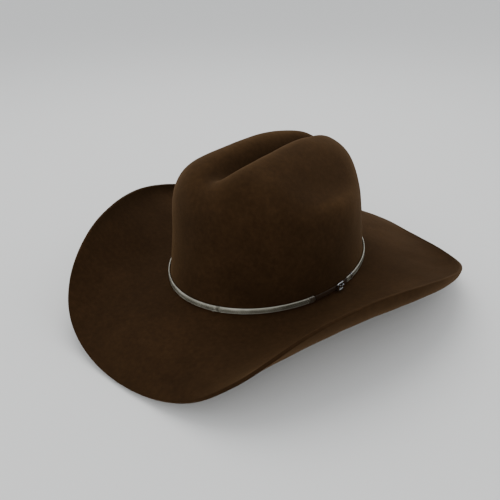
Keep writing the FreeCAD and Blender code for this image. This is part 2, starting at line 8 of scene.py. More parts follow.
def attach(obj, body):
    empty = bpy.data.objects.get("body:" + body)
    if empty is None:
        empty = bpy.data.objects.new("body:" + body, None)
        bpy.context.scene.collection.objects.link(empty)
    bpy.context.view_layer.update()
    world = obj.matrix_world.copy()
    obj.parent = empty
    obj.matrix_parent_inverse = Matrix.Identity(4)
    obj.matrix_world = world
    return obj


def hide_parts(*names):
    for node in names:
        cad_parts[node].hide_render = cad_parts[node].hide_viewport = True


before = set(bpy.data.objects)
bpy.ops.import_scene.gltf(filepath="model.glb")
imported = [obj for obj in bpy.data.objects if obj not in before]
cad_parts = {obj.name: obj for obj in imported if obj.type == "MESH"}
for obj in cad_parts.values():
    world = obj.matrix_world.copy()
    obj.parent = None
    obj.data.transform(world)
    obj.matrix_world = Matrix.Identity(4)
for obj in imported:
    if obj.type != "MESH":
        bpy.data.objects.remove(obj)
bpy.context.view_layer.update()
random.seed(11)
MM = 0.001


# ---------------------------------------------------------------- felt body
# Crown and brim are one sheet of brown fur felt, steamed over a block, creased by
# hand and cut raw at the brim's edge. The block's own formulas give its shape.

HALF_LENGTH = 104 * MM
HALF_WIDTH = 85 * MM
BAND_LEVEL = 24 * MM
FELT = 2.8 * MM
BREAK_ROUNDING = 4 * MM
CROWN_HEIGHT = 118 * MM
SHOULDER_PLAN = 7
SHOULDER_RISE = 6
FRONT_TAPER = 0.125
SIDE_TAPER = 0.07
LEAN_BEND = 0.8
BACK_FALL = 19 * MM
FRONT_FALL = 9 * MM
CROSS_FALL = 20 * MM
GROOVE_DEPTH = 24 * MM
GROOVE_WIDTH = 10.5
GROOVE_FLARE = 0.35
GROOVE_REACH = 72 * MM
DENT_DEPTH = 22 * MM
DENT_OUT = 61 * MM
DENT_BACK = 10 * MM
DENT_WIDTH = 21
DENT_LENGTH = 68
EDGE_SIDE = (158, -8, -1, 10)
EDGE_FRONT_MEAN = 8.5
EDGE_FRONT = (194, -10, -7, 1.5)
EDGE_RISE_MEAN = 29.65
EDGE_RISE = (10, -30, -10, 3)


# The brim's edge, in mm, as a few waves of the turn: out to the sides, to front and
# back, and up.
def harmonics(weights, turn, wave, first=0):
    return MM * (first + sum(w * wave((k + 1) * turn) for k, w in enumerate(weights)))


def outward_at(turn):
    """The level way straight out of the crown's oval."""
    outward = Vector((math.sin(turn) / HALF_WIDTH, -math.cos(turn) / HALF_LENGTH, 0))
    return outward.normalized()


def brim_point(turn, share):
    """On the brim's top, from the crown (share 0) to the cut edge (share 1)."""
    foot = Vector((HALF_WIDTH * math.sin(turn), -HALF_LENGTH * math.cos(turn), BAND_LEVEL))
    edge = Vector((
        harmonics(EDGE_SIDE, turn, math.sin),
        -harmonics(EDGE_FRONT, turn, math.cos, EDGE_FRONT_MEAN),
        harmonics(EDGE_RISE, turn, math.cos, EDGE_RISE_MEAN),
    ))
    reach = edge - foot
    ahead = Vector((reach.x, reach.y, 0)).normalized()
    foot_lean = math.radians(-3 - 6 * math.cos(2 * turn))
    edge_lean = math.radians(36 - 2 * math.cos(turn) - 72 * math.cos(2 * turn))
    edge_hold = 0.25 + 0.08 * math.cos(turn) + 0.02 * math.cos(2 * turn)
    leaving = outward_at(turn) * math.cos(foot_lean) + Vector((0, 0, math.sin(foot_lean)))
    arriving = ahead * math.cos(edge_lean) + Vector((0, 0, math.sin(edge_lean)))
    first = foot + leaving * (0.40 * reach.length)
    second = edge - arriving * (edge_hold * reach.length)
    rest = 1 - share
    return (foot * rest**3 + first * (3 * share * rest**2)
            + second * (3 * share**2 * rest) + edge * share**3)


def hollow(distance, width):
    """A soft hollow's share of its depth, for a distance in metres and a width in mm."""
    return math.exp(-((distance / (width * MM)) ** 2))


def crown_top(x, y):
    """Height over the band of the creased top: a dome, its groove and two side dents."""
    fall = BACK_FALL if y > 0 else FRONT_FALL
    top = CROWN_HEIGHT - fall * (y / HALF_LENGTH) ** 2 - CROSS_FALL * (x / HALF_WIDTH) ** 2
    groove_width = GROOVE_WIDTH * (1 - GROOVE_FLARE * y / HALF_LENGTH)
    top -= GROOVE_DEPTH * hollow(x, groove_width) * math.exp(-((y / GROOVE_REACH) ** 4))
    return top - DENT_DEPTH * hollow(abs(x) - DENT_OUT, DENT_WIDTH) * hollow(y - DENT_BACK, DENT_LENGTH)


def crown_point(turn, reach, rise):
    """On the crown's outside, at shares of its reach across and of its height."""
    lean = rise * (1 + LEAN_BEND * (1 - rise))
    front_taper = FRONT_TAPER * (1 + math.cos(turn)) / 2
    x = reach * HALF_WIDTH * math.sin(turn) * (1 - SIDE_TAPER * lean)
    y = -reach * HALF_LENGTH * math.cos(turn) * (1 - front_taper * lean)
    return Vector((x, y, BAND_LEVEL + rise * crown_top(x, y)))


def reach_at(rise):
    return (1 - max(rise, 0) ** SHOULDER_RISE) ** (1 / SHOULDER_PLAN)


def rise_at(reach):
    return (1 - reach**SHOULDER_PLAN) ** (1 / SHOULDER_RISE)


def crown_shares(count):
    """(reach, rise) pairs evenly spaced along the crown's section, foot to centre."""
    steps = 600
    corner = 0.9
    dense = [(reach_at(corner * s / steps), corner * s / steps) for s in range(steps)]
    last = reach_at(corner)
    dense += [(last * (1 - s / steps), rise_at(last * (1 - s / steps))) for s in range(steps + 1)]
    lengths = [0]
    for before, after in zip(dense, dense[1:]):
        across = (after[0] - before[0]) * (HALF_LENGTH + HALF_WIDTH) / 2
        lengths.append(lengths[-1] + math.hypot(across, (after[1] - before[1]) * CROWN_HEIGHT))
    picked = []
    index = 0
    for step in range(count + 1):
        while lengths[index] < lengths[-1] * step / count - 1e-9:
            index += 1
        picked.append(dense[index])
    picked[-1] = (0, 1)
    return picked


def wall_point(turn, height, outward=0):
    """Beside the crown's wall, at a height over the band level, in metres."""
    rise = height / CROWN_HEIGHT
    for repeat in range(3):
        point = crown_point(turn, reach_at(rise), rise)
        rise = height / crown_top(point.x, point.y)
    point = crown_point(turn, reach_at(rise), rise)
    point.z = BAND_LEVEL + height
    return point + outward_at(turn) * outward


def activate(piece):
    bpy.ops.object.select_all(action="DESELECT")
    piece.select_set(True)
    bpy.context.view_layer.objects.active = piece


def lay_grid(name, rounds, rows, place, flat=(1, 1)):
    """A grid laid over place(u, v); its seams close, and its UV map is in metres."""
    bpy.ops.object.select_all(action="DESELECT")
    bpy.ops.mesh.primitive_grid_add(x_subdivisions=rounds, y_subdivisions=rows, size=1)
    piece = bpy.context.object
    piece.name = name
    for vertex in piece.data.vertices:
        vertex.co = place(vertex.co.x + 0.5, vertex.co.y + 0.5)
    for corner in piece.data.uv_layers.active.data:
        corner.uv = (corner.uv[0] * flat[0], corner.uv[1] * flat[1])
    bpy.ops.object.mode_set(mode="EDIT")
    bpy.ops.mesh.select_all(action="SELECT")
    bpy.ops.mesh.remove_doubles(threshold=0.002 * MM)
    bpy.ops.object.mode_set(mode="OBJECT")
    return piece


def thicken(piece, thickness, offset=-1, rounding=0, segments=2, angle=50):
    """Solidify, then round the edges, both applied."""
    activate(piece)
    wall = piece.modifiers.new("wall", "SOLIDIFY")
    wall.thickness = thickness
    wall.offset = offset
    bpy.ops.object.modifier_apply(modifier=wall.name)
    if rounding:
        soften(piece, rounding, segments, angle)


def soften(piece, rounding, segments=2, angle=40):
    activate(piece)
    edges = piece.modifiers.new("edges", "BEVEL")
    edges.width = rounding
    edges.segments = segments
    edges.limit_method = "ANGLE"
    edges.angle_limit = math.radians(angle)
    bpy.ops.object.modifier_apply(modifier=edges.name)


def smooth(piece, angle=40):
    """Faces outward, then smooth shading with crisp folds."""
    activate(piece)
    bpy.ops.object.mode_set(mode="EDIT")
    bpy.ops.mesh.select_all(action="SELECT")
    bpy.ops.mesh.normals_make_consistent(inside=False)
    bpy.ops.object.mode_set(mode="OBJECT")
    bpy.ops.object.shade_smooth_by_angle(angle=math.radians(angle))


def dress(piece, material, slot, body, *nodes):
    """Finish: give the material, attach to the body and hide the CAD nodes that the piece stands for. The
    slot is not used.
    """
    piece.data.materials.clear()
    piece.data.materials.append(material)
    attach(piece, body)
    if nodes:
        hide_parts(*nodes)


BRIM_ROWS = 40
BREAK_ROWS = 6
CROWN_ROWS = 96
BRIM_WIDTH = 88 * MM
BRIM_FOOT = BREAK_ROUNDING / BRIM_WIDTH
CREST_BEND = 90
SHARES = [share for share in crown_shares(CROWN_ROWS) if share[1] * CROWN_HEIGHT > BREAK_ROUNDING * 1.3]
FELT_ROWS = BRIM_ROWS + BREAK_ROWS + len(SHARES)


def felt_point(u, v):
    turn = 2 * math.pi * u
    row = round(v * FELT_ROWS)
    if row <= BRIM_ROWS:
        return brim_point(turn, 1 - (1 - BRIM_FOOT) * row / BRIM_ROWS)
    if row <= BRIM_ROWS + BREAK_ROWS:
        bend = (row - BRIM_ROWS) / BREAK_ROWS
        low = brim_point(turn, BRIM_FOOT)
        high = wall_point(turn, BREAK_ROUNDING)
        corner = brim_point(turn, 0)
        return low * (1 - bend) ** 2 + corner * (2 * bend * (1 - bend)) + high * bend**2
    return crown_point(turn, *SHARES[row - BRIM_ROWS - BREAK_ROWS - 1])


felt = lay_grid("felt_body_blocked", 240, FELT_ROWS, felt_point)


def hand_worked(point):
    """Small unevenness that hands and steam leave, none where the band lies."""
    high = point.z - BAND_LEVEL
    from_band = abs(math.hypot(point.x / HALF_WIDTH, point.y / HALF_LENGTH) - 1) + abs(high) * 12
    share = min(1, max(0, from_band - 0.18) * 2.5)
    wide = noise.noise(point * 22) * 1.1 + noise.noise(point * 55 + Vector((4, 2, 9))) * 0.35
    return share * wide * MM


felt.data.update()
shifts = [(vertex.normal * hand_worked(vertex.co)) for vertex in felt.data.vertices]
for vertex, shift in zip(felt.data.vertices, shifts):
    vertex.co += shift

# The felt goes paler on the crests beside the groove, the shoulders and the cut edge: partly nap lifted by
# hands and brushes, partly a painted highlight where these crests and edges catch the light. The mask is
# measured on the bare sheet.
sheet = bmesh.new()
sheet.from_mesh(felt.data)
sheet.normal_update()
crest = []
for vertex in sheet.verts:
    bend = 0
    for edge in vertex.link_edges:
        other = edge.other_vert(vertex)
        bend += (vertex.normal - other.normal).dot(vertex.co - other.co) / edge.calc_length() ** 2
    crest.append(bend / max(1, len(vertex.link_edges)))
sheet.free()
attribute = felt.data.attributes.new("wear_and_highlight", "FLOAT", "POINT")
for index, value in enumerate(crest):
    attribute.data[index].value = min(1, max(0, value / CREST_BEND))
thicken(felt, FELT, rounding=0.8 * MM, segments=3, angle=55)
smooth(felt, 60)


def new_material(name, **sockets):
    """A Principled material; underscores in the socket names stand for spaces."""
    made = bpy.data.materials.new(name)
    made.use_nodes = True
    shader = made.node_tree.nodes["Principled BSDF"]
    for socket, value in sockets.items():
        shader.inputs[socket.replace("_", " ")].default_value = value
    return made, shader


def add_node(tree, kind, inputs=None, **settings):
    made = tree.nodes.new("ShaderNode" + kind)
    for name, value in settings.items():
        setattr(made, name, value)
    for socket, value in (inputs or {}).items():
        if isinstance(value, bpy.types.NodeSocket):
            tree.links.new(value, made.inputs[socket])
        else:
            made.inputs[socket].default_value = value
    return made


def new_group(name, inputs, outputs):
    tree = bpy.data.node_groups.new(name, "ShaderNodeTree")
    for label, value in inputs.items():
        socket = tree.interface.new_socket(label, in_out="INPUT", socket_type="NodeSocketFloat")
        socket.default_value = value
    for label in outputs:
        tree.interface.new_socket(label, in_out="OUTPUT", socket_type="NodeSocketFloat")
    return tree, tree.nodes.new("NodeGroupInput"), tree.nodes.new("NodeGroupOutput")


# Mottle: soft clouds at two sizes and a fine tooth, for felt, leather and cloth.
mottle, given, result = new_group("mottle", {"Broad": 30, "Fine": 300, "Tooth": 1500}, ["Tone", "Height"])
place = add_node(mottle, "TexCoord")
broad = add_node(mottle, "TexNoise", {"Vector": place.outputs["Object"], "Scale": given.outputs["Broad"],
                                      "Detail": 3, "Roughness": 0.55})
fine = add_node(mottle, "TexNoise", {"Vector": place.outputs["Object"], "Scale": given.outputs["Fine"],
                                     "Detail": 4, "Roughness": 0.6})
tooth = add_node(mottle, "TexNoise", {"Vector": place.outputs["Object"], "Scale": given.outputs["Tooth"],
                                      "Detail": 3, "Roughness": 0.7})
half = add_node(mottle, "Math", {0: broad.outputs["Fac"], 1: fine.outputs["Fac"]}, operation="ADD")
tone = add_node(mottle, "Math", {0: half.outputs[0], 1: 0.5}, operation="MULTIPLY")
rough = add_node(mottle, "Math", {0: fine.outputs["Fac"], 1: tooth.outputs["Fac"]}, operation="ADD")
high = add_node(mottle, "Math", {0: rough.outputs[0], 1: 0.5}, operation="MULTIPLY")
mottle.links.new(tone.outputs[0], result.inputs["Tone"])
mottle.links.new(high.outputs[0], result.inputs["Height"])


def place_group(material, group, **values):
    made = material.node_tree.nodes.new("ShaderNodeGroup")
    made.node_tree = group
    for socket, value in values.items():
        made.inputs[socket].default_value = value
    return made


def ramp(tree, factor, *stops):
    """A colour ramp with (place, colour) stops."""
    made = tree.nodes.new("ShaderNodeValToRGB")
    tree.links.new(factor, made.inputs["Fac"])
    elements = made.color_ramp.elements
    while len(elements) < len(stops):
        elements.new(0.5)
    for element, (position, colour) in zip(elements, stops):
        element.position = position
        element.color = (*colour, 1)
    return made


def bump(tree, height, shader, strength, distance):
    made = add_node(tree, "Bump", {"Height": height, "Strength": strength, "Distance": distance})
    tree.links.new(made.outputs["Normal"], shader.inputs["Normal"])


felt_brown, shader = new_material(
    "felt_brown", Roughness=0.95, Specular_IOR_Level=0.05, Sheen_Weight=0.16,
    Sheen_Roughness=0.5, Sheen_Tint=(0.62, 0.36, 0.16, 1),
)
tree = felt_brown.node_tree
nap = place_group(felt_brown, mottle, Broad=26, Fine=260, Tooth=1700)
browns = ramp(tree, nap.outputs["Tone"], (0.36, (0.0155, 0.0072, 0.0026)), (0.52, (0.0215, 0.0102, 0.0038)),
              (0.68, (0.030, 0.0142, 0.0054)))
# Crests, shoulders and cut edge mix towards a paler brown: partly rubbed nap, partly painted highlight.
wear_and_highlight = add_node(tree, "Attribute", attribute_name="wear_and_highlight")
patchy = add_node(tree, "Math", {0: wear_and_highlight.outputs["Fac"], 1: nap.outputs["Tone"]}, operation="MULTIPLY")
paler = add_node(tree, "Mix", {"Factor": patchy.outputs[0], 6: browns.outputs["Color"],
                               7: (0.080, 0.042, 0.0165, 1)}, data_type="RGBA")
tree.links.new(paler.outputs[2], shader.inputs["Base Color"])
bump(tree, nap.outputs["Height"], shader, 0.5, 0.35 * MM)
dress(felt, felt_brown, "brown_felt", "hat", "felt_body")


# ---------------------------------------------------------------- the lining
# A satin side strip, gathered where it meets the oval tip, follows the felt from
# inside. A round piping covers the seam, and a clear film hangs under the tip.

LINING_SEAM = 0.58
SEAM_GAP = 0.016
CLOTH_DEPTH = FELT + 0.35 * MM
CLOTH = 0.25 * MM
LINING_FOOT = 7 * MM
GATHERS = 90
GATHER_DEPTH = 0.9


def lining_cloth(name, first, last, foot=None, gathers=0):
    """Satin under the crown between two shares of its reach, or from a foot level."""
    lowest = (foot or 0) + 1.5 * MM
    shares = [share for share in SHARES if last < share[0] < first and share[1] * CROWN_HEIGHT > lowest]
    shares = [(first, rise_at(first))] * (foot is None) + shares + [(last, rise_at(last))]
    rows = len(shares) - (foot is None)

    def place(u, v):
        turn = 2 * math.pi * u
        row = round(v * rows)
        if foot is not None and row == 0:
            return wall_point(turn, foot)
        return crown_point(turn, *shares[row - (foot is not None)])

    piece = lay_grid(name, 300, rows, place, (0.55, 0.13))
    piece.data.update()
    moves = []
    for vertex in piece.data.vertices:
        point = vertex.co
        turn = math.atan2(point.x / HALF_WIDTH, -point.y / HALF_LENGTH)
        high = min(1, max(0, (point.z - BAND_LEVEL) / (80 * MM)))
        fold = 0.5 + 0.5 * math.sin(gathers * turn + 2 * math.sin(5 * turn))
        slack = noise.noise(point * 40) * 0.25 + 0.25
        gathered = fold * GATHER_DEPTH * high * (gathers > 0)
        moves.append(vertex.normal * -(CLOTH_DEPTH + (gathered + slack) * MM))
    for vertex, move in zip(piece.data.vertices, moves):
        vertex.co += move
    thicken(piece, CLOTH)
    smooth(piece, 50)
    return piece


satin, shader = new_material("ivory_satin", Roughness=0.34, Specular_IOR_Level=0.6, Anisotropic=0.5,
                             Sheen_Weight=0.25, Sheen_Roughness=0.3)
tree = satin.node_tree
woven = add_node(tree, "TexCoord")
threads = add_node(tree, "TexWave", {"Vector": woven.outputs["UV"], "Scale": 900, "Distortion": 0.4},
                   wave_type="BANDS", bands_direction="Y")
clouds = place_group(satin, mottle, Broad=18, Fine=140, Tooth=900)
ivory = ramp(tree, clouds.outputs["Tone"], (0.35, (0.42, 0.33, 0.21)), (0.65, (0.60, 0.50, 0.35)))
tree.links.new(ivory.outputs["Color"], shader.inputs["Base Color"])
bump(tree, threads.outputs["Fac"], shader, 0.25, 0.06 * MM)

lining_side = lining_cloth("lining_side_gathered", 2, LINING_SEAM + SEAM_GAP, LINING_FOOT, GATHERS)
dress(lining_side, satin, "satin_lining", "hat", "lining_side")
lining_tip = lining_cloth("lining_tip_oval", LINING_SEAM - SEAM_GAP, 0)
dress(lining_tip, satin, "satin_lining", "hat", "lining_tip")


def lay_tube(name, strands, radius, sides=2, cyclic=False):
    """Round threads or cords through rows of points, as one mesh."""
    line = bpy.data.curves.new(name, "CURVE")
    line.dimensions = "3D"
    line.bevel_depth = radius
    line.bevel_resolution = sides
    line.use_fill_caps = True
    for strand in strands:
        spline = line.splines.new("POLY")
        spline.points.add(len(strand) - 1)
        spline.use_cyclic_u = cyclic
        for point, place in zip(spline.points, strand):
            point.co = (*place, 1)
    made = bpy.data.objects.new(name, line)
    bpy.context.collection.objects.link(made)
    activate(made)
    bpy.ops.object.convert(target="MESH")
    piece = bpy.context.object
    smooth(piece, 50)
    return piece


def turns(count):
    return [2 * math.pi * step / count for step in range(count)]


PIPING_RADIUS = 0.8 * MM
piping_path = []
for turn in turns(240):
    centre = crown_point(turn, LINING_SEAM, rise_at(LINING_SEAM))
    inward = crown_point(turn, LINING_SEAM - SEAM_GAP, rise_at(LINING_SEAM - SEAM_GAP))
    side = crown_point(turn + 0.02, LINING_SEAM, rise_at(LINING_SEAM)) - centre
    square = side.cross(inward - centre).normalized()
    piping_path.append(centre - square * (CLOTH_DEPTH + 0.5 * MM))
piping = lay_tube("lining_piping_cord", [piping_path], PIPING_RADIUS, 4, True)
brown_satin, shader = new_material("brown_satin", Roughness=0.4, Specular_IOR_Level=0.5)
shader.inputs["Base Color"].default_value = (0.10, 0.055, 0.028, 1)
clouds = place_group(brown_satin, mottle, Broad=40, Fine=700, Tooth=2400)
bump(brown_satin.node_tree, clouds.outputs["Height"], shader, 0.3, 0.1 * MM)
dress(piping, brown_satin, "satin_piping", "hat", "lining_piping")

film, shader = new_material("clear_film", Roughness=0.06, IOR=1.47, Alpha=0.13)
shader.inputs["Base Color"].default_value = (0.9, 0.92, 0.95, 1)
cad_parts["tip_shield"].data.materials.clear()
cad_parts["tip_shield"].data.materials.append(film)


# ------------------------------------------------------------- the sweatband
# A leather strip turned up inside the crown, its reed held in a folded cotton tape.
# One row of linen thread sews leather and tape to the felt at the break.

FOOT_DEPTH = 5.95 * MM
TOP_DEPTH = 4.4 * MM
LEATHER = 1.2 * MM
BAND_TOP = 50 * MM
BAND_DROP = 1.8 * MM
REED_DEPTH = 4.15 * MM
REED_LEVEL = -0.3 * MM
REED_RADIUS = 1.05 * MM


def leather_depth(height):
    """Depth of the sweatband's inner face from the felt's outside."""
    share = (height + BAND_DROP) / (BAND_TOP + BAND_DROP)
    return FOOT_DEPTH + (TOP_DEPTH - FOOT_DEPTH) * share + LEATHER


def rounded(share, half_wide, half_high, squareness=0.5):
    """A point on a closed section between an oval (1) and a rectangle (towards 0)."""
    cosine = math.cos(2 * math.pi * share)
    sine = math.sin(2 * math.pi * share)
    return (half_wide * math.copysign(abs(cosine) ** squareness, cosine),
            half_high * math.copysign(abs(sine) ** squareness, sine))


def lay_ring(name, sides, section, count=240):
    """A closed section, (outward, height) by share, carried round the crown's foot."""
    def place(u, v):
        out, high = section(v % 1, 2 * math.pi * u)
        return wall_point(2 * math.pi * u, high, out)
    piece = lay_grid(name, count, sides, place)
    smooth(piece, 45)
    return piece


def sweatband_section(share, turn):
    thick, high = rounded(share, LEATHER / 2, (BAND_TOP + BAND_DROP) / 2, 0.22)
    high += (BAND_TOP - BAND_DROP) / 2
    free = max(0, high / BAND_TOP) ** 2
    ease = (0.5 + 0.5 * math.sin(3 * turn + 1) * math.sin(7 * turn)) * 0.5 * MM * free
    return -leather_depth(high) + LEATHER / 2 + thick - ease, high


sweatband = lay_ring("sweatband_leather_strip", 44, sweatband_section)
leather, shader = new_material("tan_leather", Roughness=0.48, Specular_IOR_Level=0.45)
tree = leather.node_tree
grain = place_group(leather, mottle, Broad=24, Fine=420, Tooth=2600)
tans = ramp(tree, grain.outputs["Tone"], (0.35, (0.115, 0.052, 0.022)), (0.65, (0.185, 0.092, 0.042)))
place = add_node(tree, "TexCoord")
pores = add_node(tree, "TexVoronoi", {"Vector": place.outputs["Object"], "Scale": 1300},
                 feature="DISTANCE_TO_EDGE")
tree.links.new(tans.outputs["Color"], shader.inputs["Base Color"])
bump(tree, pores.outputs["Distance"], shader, 0.35, 0.12 * MM)
dress(sweatband, leather, "sweatband_leather", "hat", "sweatband")


def reed_section(share, turn):
    out, high = rounded(share, REED_RADIUS, REED_RADIUS, 1)
    return out - REED_DEPTH, high + REED_LEVEL


reed = lay_ring("sweatband_reed_ring", 14, reed_section)
plastic, shader = new_material("reed_white", Roughness=0.35)
shader.inputs["Base Color"].default_value = (0.62, 0.60, 0.54, 1)
dress(reed, plastic, "reed_plastic", "hat", "sweatband_reed")

TAPE_HALF = 1.325 * MM
TAPE_BEND = 10
TAPE = 0.3 * MM


def tape_line():
    """The folded tape's middle line: short flange, round the reed, long flange."""
    line = [(-REED_DEPTH + TAPE_HALF, REED_LEVEL + 0.8 * MM)]
    for step in range(TAPE_BEND + 1):
        angle = math.pi * step / TAPE_BEND
        line.append((-REED_DEPTH + TAPE_HALF * math.cos(angle), REED_LEVEL - TAPE_HALF * math.sin(angle)))
    return line + [(-REED_DEPTH - TAPE_HALF, REED_LEVEL + high * MM) for high in (1.5, 3, 4.5, 6)]


TAPE_LINE = tape_line()
TAPE_ROWS = len(TAPE_LINE) - 1


def tape_point(u, v):
    out, high = TAPE_LINE[round(v * TAPE_ROWS)]
    return wall_point(2 * math.pi * u, high, out)


reed_tape = lay_grid("reed_tape_folded", 240, TAPE_ROWS, tape_point, (0.56, 0.012))
thicken(reed_tape, TAPE, 0)
smooth(reed_tape, 50)
cotton, shader = new_material("cotton_twill", Roughness=0.9)
shader.inputs["Base Color"].default_value = (0.55, 0.49, 0.38, 1)
tree = cotton.node_tree
woven = add_node(tree, "TexCoord")
twill = add_node(tree, "TexWave", {"Vector": woven.outputs["UV"], "Scale": 500, "Distortion": 0.3},
                 wave_type="BANDS", bands_direction="DIAGONAL")
bump(tree, twill.outputs["Fac"], shader, 0.5, 0.1 * MM)
dress(reed_tape, cotton, "cotton_tape", "hat", "reed_tape")

STITCH_LEVEL = 3.5 * MM
STITCHES = 150
THREAD_RADIUS = 0.26 * MM
stitch_rows = []
for turn in turns(STITCHES):
    row = []
    for along, rise in ((-0.36, -0.25), (-0.28, 0.2), (0, 0.4), (0.28, 0.2), (0.36, -0.25)):
        at = turn + along * 2 * math.pi / STITCHES
        row.append(wall_point(at, STITCH_LEVEL, -leather_depth(STITCH_LEVEL) - rise * MM))
    stitch_rows.append(row)
stitches = lay_tube("sweatband_stitch_row", stitch_rows, THREAD_RADIUS, 1)
linen, shader = new_material("linen_thread", Roughness=0.8)
shader.inputs["Base Color"].default_value = (0.50, 0.40, 0.26, 1)
clouds = place_group(linen, mottle, Broad=300, Fine=1500, Tooth=4000)
bump(linen.node_tree, clouds.outputs["Height"], shader, 0.5, 0.08 * MM)
dress(stitches, linen, "linen_thread", "hat", "sweatband_stitches")


# --------------------------------------------------- rear seam, bow and tab
# The sweatband's ends meet at the back under a skived leather cover sewn in a
# zigzag. A ribbon bow marks the back, and a blank card tab stands by the seam.

def beside_leather(middle, along, level, depth):
    """Inside the sweatband: metres along the oval from a middle angle, and up."""
    turn = math.radians(middle)
    stretch = math.hypot(HALF_WIDTH * math.cos(turn), HALF_LENGTH * math.sin(turn)) * 0.93
    turn += along / stretch
    return wall_point(turn, level, -leather_depth(level) - depth)


def leather_patch(name, middle, level, wide, high, thick, depth, roundness):
    """A thin plate that follows the sweatband's inner face."""
    def place(u, v):
        across, up = (2 * u - 1), (2 * v - 1)
        corner = 1 - roundness * abs(across * up) ** 6
        return beside_leather(middle, across * wide / 2 * corner, level + up * high / 2 * corner, depth)
    piece = lay_grid(name, 16, 24, place, (wide, high))
    thicken(piece, thick, 0, thick * 0.3, 2, 60)
    smooth(piece, 40)
    return piece


SEAM_LEVEL = 25 * MM
COVER = 0.8 * MM
COVER_WIDE = 14 * MM
COVER_HIGH = 36 * MM
COVER_DEPTH = 0.6 * MM
cover = leather_patch("rear_seam_cover_skived", 180, SEAM_LEVEL, COVER_WIDE, COVER_HIGH, COVER,
                      COVER_DEPTH, 0.05)
seam_leather, shader = new_material("seam_leather", Roughness=0.5)
tree = seam_leather.node_tree
grain = place_group(seam_leather, mottle, Broad=40, Fine=500, Tooth=2600)
deep = ramp(tree, grain.outputs["Tone"], (0.35, (0.085, 0.038, 0.017)), (0.65, (0.135, 0.065, 0.030)))
tree.links.new(deep.outputs["Color"], shader.inputs["Base Color"])
bump(tree, grain.outputs["Height"], shader, 0.4, 0.1 * MM)
dress(cover, seam_leather, "seam_leather", "hat", "rear_seam_cover")

ZIGZAG_STEPS = 32
zigzag = []
for step in range(ZIGZAG_STEPS + 1):
    across = (0.5 - abs((step % 4) / 2 - 1)) * 5 * MM
    up = SEAM_LEVEL + 4 * MM + (step / ZIGZAG_STEPS - 0.5) * 24 * MM
    zigzag.append(beside_leather(180, across, up, COVER_DEPTH + COVER / 2 + 0.2 * MM))
thread = lay_tube("rear_seam_zigzag", [zigzag], 0.22 * MM, 2)
dress(thread, linen, "linen_thread", "hat", "rear_seam_stitches")


def wall_frame(angle, height):
    """At an angle in degrees: the wall's point and the ways along, up and off it."""
    turn = math.radians(angle)
    out = outward_at(turn)
    along = Vector((-out.y, out.x, 0))
    upward = wall_point(turn, height + 4 * MM) - wall_point(turn, height - 4 * MM)
    upward = (upward - along * upward.dot(along)).normalized()
    return wall_point(turn, height), along, upward, along.cross(upward)


def crown_place(angle, height, off, forward=0):
    """A matrix on the wall: x along the band, y up the wall, z off it."""
    at, along, upward, square = wall_frame(angle, height)
    at = at + square * off + along * forward
    return Matrix((
        (along.x, upward.x, square.x, at.x), (along.y, upward.y, square.y, at.y),
        (along.z, upward.z, square.z, at.z), (0, 0, 0, 1),
    ))


BOW_LEVEL = 9 * MM
BOW_DEPTH = leather_depth(BOW_LEVEL) + 3.2 * MM
ribbon, shader = new_material("brown_grosgrain", Roughness=0.55, Sheen_Weight=0.2)
tree = ribbon.node_tree
woven = add_node(tree, "TexCoord")
ribs = add_node(tree, "TexWave", {"Vector": woven.outputs["UV"], "Scale": 420}, wave_type="BANDS",
                bands_direction="X")
tint = ramp(tree, ribs.outputs["Fac"], (0.2, (0.028, 0.014, 0.008)), (0.8, (0.052, 0.028, 0.016)))
tree.links.new(tint.outputs["Color"], shader.inputs["Base Color"])
bump(tree, ribs.outputs["Fac"], shader, 0.5, 0.08 * MM)


def bow_loop(side):
    """One loop: the ribbon leaves the knot, turns over and comes back."""
    def place(u, v):
        turn = 2 * math.pi * u
        out = 6.5 * (1 - math.cos(turn))
        half = 1.5 + 2.5 * (out / 13) ** 0.8
        sag = 0.5 * math.cos(math.pi * (v - 0.5)) * (out / 13)
        lift = 0.95 * math.sin(turn) * (1 - 0.35 * abs(2 * v - 1) ** 2)
        return Vector((side * (out - sag), (2 * v - 1) * half - 0.6 * (out / 13), lift)) * MM
    return lay_grid("loop", 36, 10, place, (0.028, 0.008))


def join(name, *parts):
    activate(parts[0])
    for part in parts:
        part.select_set(True)
    bpy.ops.object.join()
    bpy.context.object.name = name
    return bpy.context.object


loops = join("bow_loops_ribbon", bow_loop(-1), bow_loop(1))
thicken(loops, 0.28 * MM, 0)
smooth(loops, 60)
loops.data.transform(crown_place(180, BOW_LEVEL, -BOW_DEPTH))
dress(loops, ribbon, "bow_ribbon", "hat", "bow_loops")


def bow_tail(side):
    """One cut end of the ribbon, hanging from the knot, with a slanted end."""
    def place(u, v):
        length = u * (15 + 1.6 * (v - 0.5) * side)
        across = side * (0.4 + 3.6 * u) + (v - 0.5) * 4 * (0.55 + 0.45 * min(1, u * 3))
        return Vector((across, -length, 0.45 * math.sin(4 * u + v * 2) * u)) * MM
    return lay_grid("tail", 24, 8, place, (0.015, 0.004))


tails = join("bow_tails_ribbon", bow_tail(-1), bow_tail(1))
thicken(tails, 0.25 * MM, 0)
smooth(tails, 60)
tails.data.transform(crown_place(180, BOW_LEVEL, -BOW_DEPTH + 1.5 * MM))
dress(tails, ribbon, "bow_ribbon", "hat", "bow_tails")


def lay_loop(name, outer, inner, corner, thick, squareness=0.55, steps=96, sides=12):
    """A bar of rounded section round a rounded opening, in the local x and y."""
    def ring_point(share, half):
        angle = 2 * math.pi * share
        x, y = math.cos(angle), math.sin(angle)
        size = (abs(x) ** corner + abs(y) ** corner) ** (-1 / corner)
        return Vector((x * size * half[0], y * size * half[1], 0))

    def place(u, v):
        outside, inside = ring_point(u % 1, outer), ring_point(u % 1, inner)
        across, up = rounded(v % 1, 0.5, thick / 2, squareness)
        return (outside + inside) / 2 + (outside - inside) * across + Vector((0, 0, up))
    piece = lay_grid(name, steps, sides, place)
    smooth(piece, 50)
    return piece


